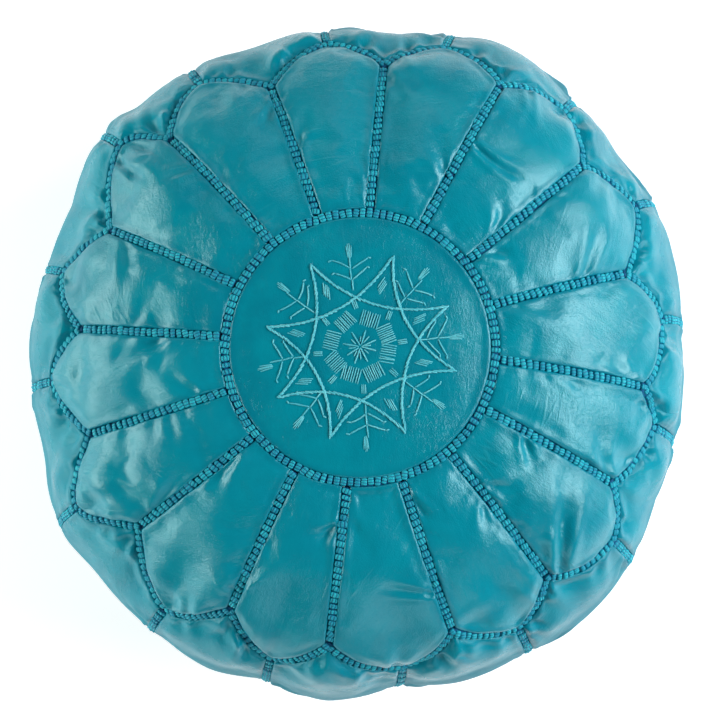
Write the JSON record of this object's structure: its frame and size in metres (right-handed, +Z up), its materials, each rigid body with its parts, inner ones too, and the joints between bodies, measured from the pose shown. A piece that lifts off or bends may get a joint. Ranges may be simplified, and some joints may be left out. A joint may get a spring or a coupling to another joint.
{
  "type": "pouf",
  "caption": "Round low leather pouf with a stuffed, panelled body, scalloped petal top, embroidered medallion, hand-sewn seams and a zip in the base.",
  "frame": {"origin": "centre of the foot, on the floor", "axes": "+Z up through the medallion; +Y along the zip towards its closed end; +X to the right seen from -Y"},
  "size_m": [0.5188, 0.5188, 0.3289],
  "materials": {
    "goat_leather": "glossy dyed goat leather, mottled",
    "seam_thread": "silky twisted thread",
    "embroidery_thread": "silky embroidery thread",
    "zip_tape": "woven herringbone tape",
    "zip_brass": "worn satin",
    "liner_cotton": "plain cotton",
    "stuffing": "matt cotton wadding"
  },
  "bodies": {
    "pouf": {"medallion": "goat_leather", "petal_01": "goat_leather", "petal_02": "goat_leather", "petal_03": "goat_leather", "petal_04": "goat_leather", "petal_05": "goat_leather", "petal_06": "goat_leather", "petal_07": "goat_leather", "petal_08": "goat_leather", "petal_09": "goat_leather", "petal_10": "goat_leather", "petal_11": "goat_leather", "petal_12": "goat_leather", "petal_13": "goat_leather", "petal_14": "goat_leather", "petal_15": "goat_leather", "petal_16": "goat_leather", "side_panel_01": "goat_leather", "side_panel_02": "goat_leather", "side_panel_03": "goat_leather", "side_panel_04": "goat_leather", "side_panel_05": "goat_leather", "side_panel_06": "goat_leather", "side_panel_07": "goat_leather", "side_panel_08": "goat_leather", "side_panel_09": "goat_leather", "side_panel_10": "goat_leather", "side_panel_11": "goat_leather", "side_panel_12": "goat_leather", "side_panel_13": "goat_leather", "side_panel_14": "goat_leather", "side_panel_15": "goat_leather", "side_panel_16": "goat_leather", "base_half_left": "goat_leather", "base_half_right": "goat_leather", "seam_medallion_ring": "seam_thread", "seam_petal_joints": "seam_thread", "seam_scalloped_edge": "seam_thread", "seam_side_joints": "seam_thread", "seam_base_ring": "seam_thread", "medallion_embroidery": "embroidery_thread", "zip_stitching": "embroidery_thread", "zip_end_tacks": "embroidery_thread", "zip_tape_left": "zip_tape", "zip_tape_right": "zip_tape", "zip_teeth_left": "zip_brass", "zip_teeth_right": "zip_brass", "zip_top_stops": "zip_brass", "zip_bottom_stop": "zip_brass", "liner_bag": "liner_cotton", "filling": "stuffing"},
    "slider": {"zip_slider": "zip_brass"},
    "pull": {"zip_pull_tab": "zip_brass"}
  },
  "joints": [
    {"name": "zip_slide", "type": "slide", "parent": "pouf", "child": "slider", "axis": [0, -1, 0], "range_m": [0, 0.242]},
    {"name": "pull_swing", "type": "hinge", "parent": "slider", "child": "pull", "pos_m": [0, 0.121, 0.0052], "axis": [1, 0, 0], "range_deg": [0, 180]}
  ]
}
